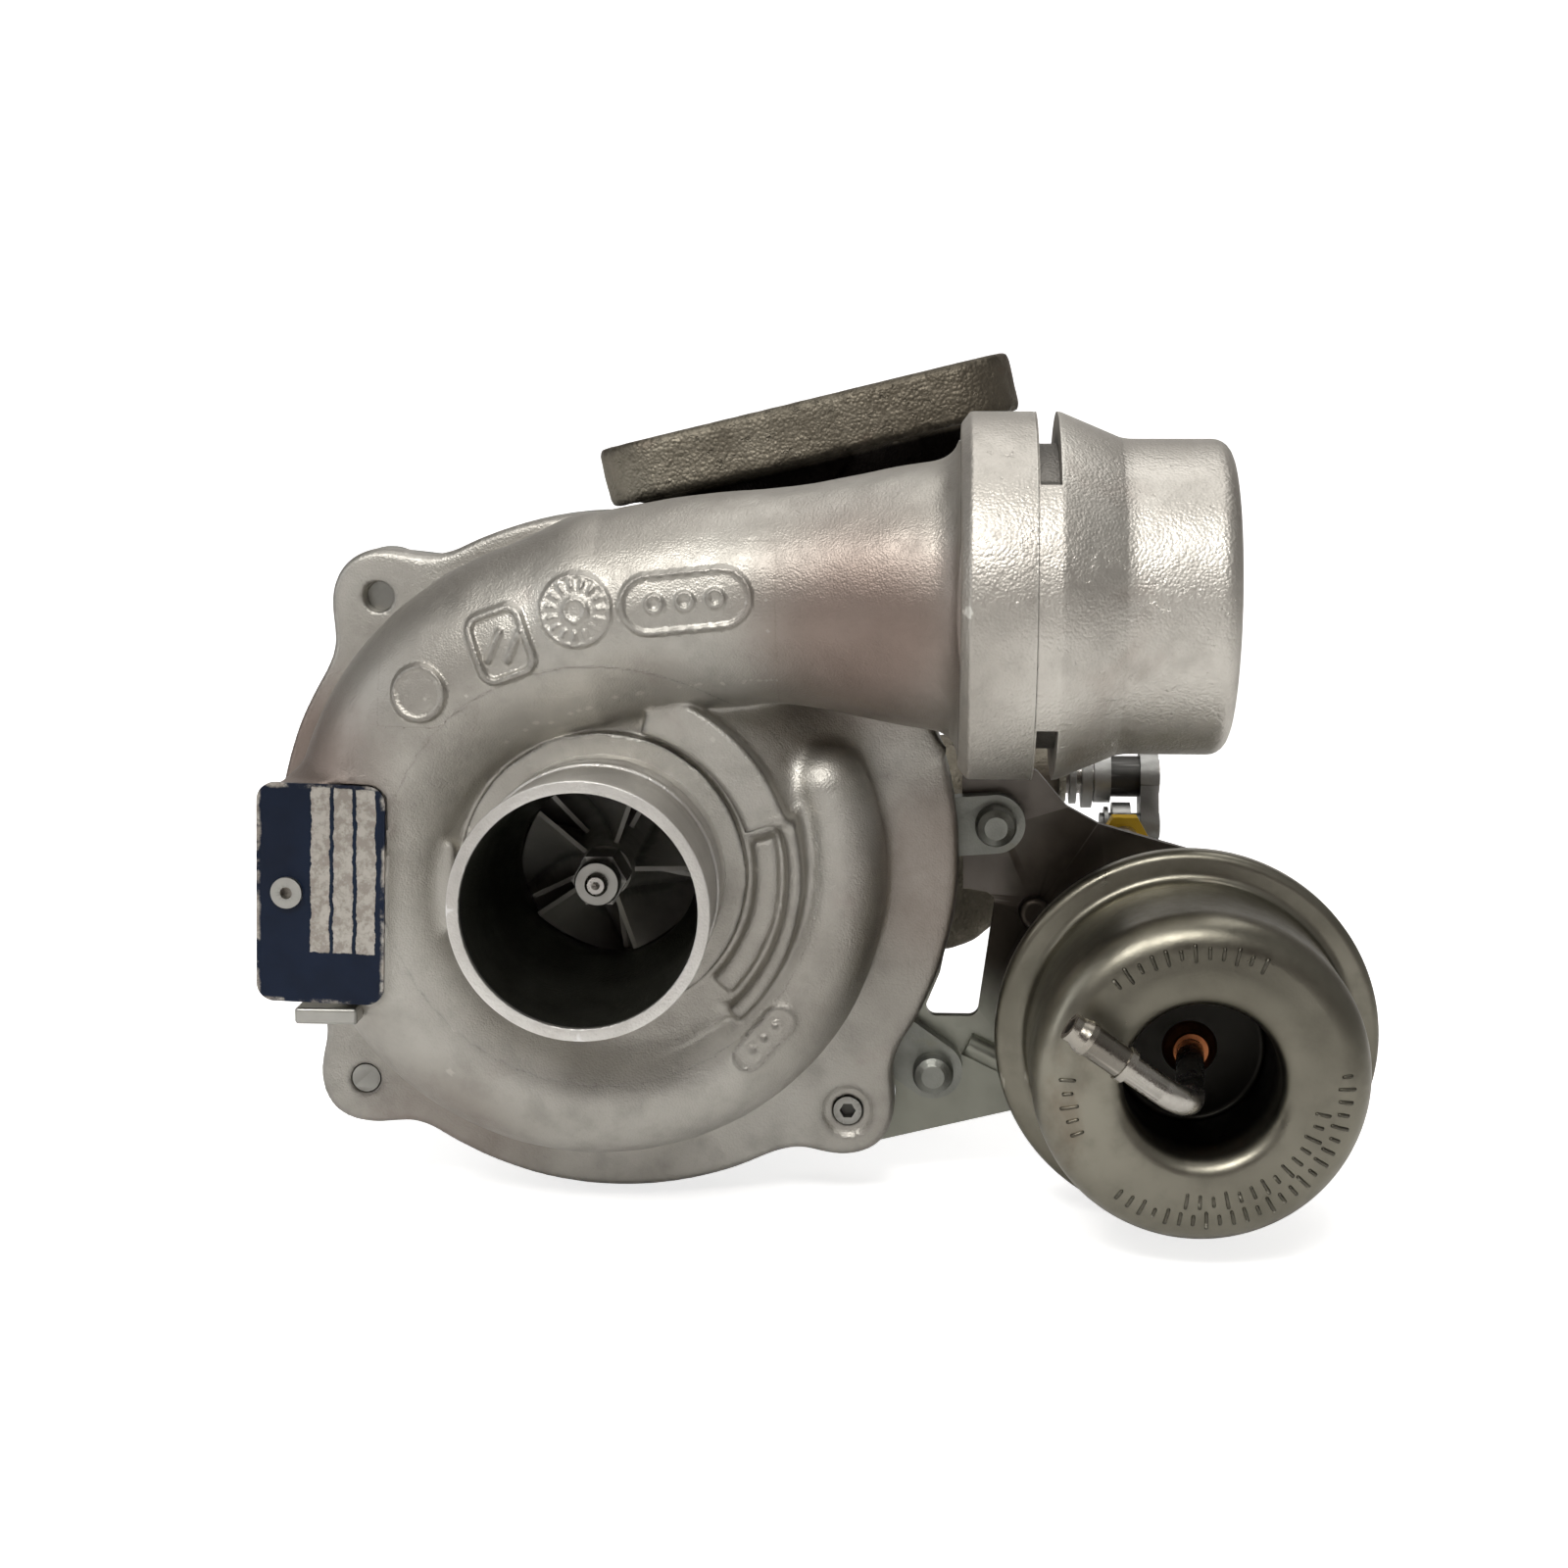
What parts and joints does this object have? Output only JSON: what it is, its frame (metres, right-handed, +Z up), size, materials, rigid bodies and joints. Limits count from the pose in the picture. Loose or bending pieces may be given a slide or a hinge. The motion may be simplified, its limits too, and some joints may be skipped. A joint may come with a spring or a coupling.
{
  "type": "turbocharger",
  "caption": "Car-engine turbocharger: compressor scroll with side outlet, bearing centre, turbine scroll with wastegate, and a canister actuator with its rod.",
  "frame": {"origin": "on the rotor's axis, in the plane of the air inlet's rim", "axes": "+Y along the rotor from compressor to turbine, +X the way the air outlet points, +Z up"},
  "size_m": [0.1903, 0.1454, 0.1484],
  "materials": {
    "cast_aluminium": "bead-blasted casting",
    "wheel_aluminium": "dark cast and machined",
    "cast_iron": "rough sand casting",
    "steel": "machined",
    "hot_alloy": "cast",
    "can_steel": "zinc plated, pressed",
    "bracket_steel": "dark smooth sheet",
    "bronze": "machined",
    "rubber": "matte",
    "copper": "brazed",
    "chrome_nipple": "worn plated",
    "yellow_paint": "paint mark",
    "plate_blue": "printed plate with worn edges"
  },
  "bodies": {
    "housing": {"compressor_housing": "cast_aluminium", "inlet_neck": "cast_aluminium", "outlet_collar": "cast_aluminium", "outlet_tube": "cast_aluminium", "compressor_bolts": "steel", "bolt_washers": "steel", "nameplate": "plate_blue", "nameplate_rivet": "steel", "nameplate_tab": "cast_aluminium", "compressor_backplate": "cast_aluminium", "backplate_screws": "steel", "backplate_o_ring": "rubber", "front_piston_ring": "steel", "rear_piston_ring": "steel", "thrust_bearing": "bronze", "oil_baffle": "steel", "bearing_circlips": "steel", "bearing_housing": "cast_iron", "oil_inlet_fitting": "steel", "oil_inlet_washer": "copper", "heat_shield": "hot_alloy", "turbine_housing": "cast_iron", "turbine_duct": "cast_iron", "turbine_inlet_flange": "cast_iron", "turbine_outlet_end": "cast_iron", "inlet_gussets": "cast_iron", "clamp_plates": "steel", "clamp_bolts": "steel", "wastegate_bush": "steel", "actuator_front_can": "can_steel", "actuator_rear_can": "can_steel", "actuator_diaphragm": "rubber", "actuator_spring": "steel", "rod_guide": "bronze", "actuator_studs": "steel", "actuator_nuts": "steel", "pressure_nipple": "chrome_nipple", "braze_ring": "copper", "actuator_bracket": "bracket_steel", "bracket_screws": "can_steel", "bracket_nuts": "steel"},
    "rotor": {"compressor_wheel": "wheel_aluminium", "wheel_nut": "steel", "rotor_shaft": "steel", "turbine_wheel": "hot_alloy", "seal_sleeve": "steel", "thrust_collar": "steel"},
    "front_bush": {"front_journal_bearing": "bronze"},
    "rear_bush": {"rear_journal_bearing": "bronze"},
    "actuator_rod_body": {"actuator_rod": "steel", "rod_eye": "can_steel", "rod_lock_nut": "yellow_paint", "spring_cup": "steel"},
    "wastegate": {"wastegate_spindle": "hot_alloy", "wastegate_flap": "hot_alloy", "flap_washer": "hot_alloy", "wastegate_lever": "can_steel", "lever_pin": "steel", "lever_clip": "steel", "spindle_washers": "steel"}
  },
  "joints": [
    {"name": "rotor_spin", "type": "hinge", "parent": "housing", "child": "rotor", "pos_m": [0, 0.0385, 0], "axis": [0, 1, 0], "continuous": true},
    {"name": "front_bush_spin", "type": "hinge", "parent": "housing", "child": "front_bush", "pos_m": [0, 0.07175, 0], "axis": [0, 1, 0], "continuous": true},
    {"name": "rear_bush_spin", "type": "hinge", "parent": "housing", "child": "rear_bush", "pos_m": [0, 0.08275, 0], "axis": [0, 1, 0], "continuous": true},
    {"name": "rod_slide", "type": "slide", "parent": "housing", "child": "actuator_rod_body", "axis": [0, 1, 0], "range_m": [0, 0.007], "stiffness_N_per_m": 6000, "springref_m": -0.006, "deforming": ["actuator_spring", "actuator_diaphragm"]},
    {"name": "wastegate_hinge", "type": "hinge", "parent": "housing", "child": "wastegate", "pos_m": [0.0315, 0.12, 0.0034], "axis": [1, 0, 0], "range_deg": [0, 41]}
  ],
  "couplings": [
    {"joint": "front_bush_spin", "follows": "rotor_spin", "ratio": 0.3},
    {"joint": "rear_bush_spin", "follows": "rotor_spin", "ratio": 0.3},
    {"joint": "wastegate_hinge", "follows": "rod_slide", "rad_per_m": 102.1}
  ]
}
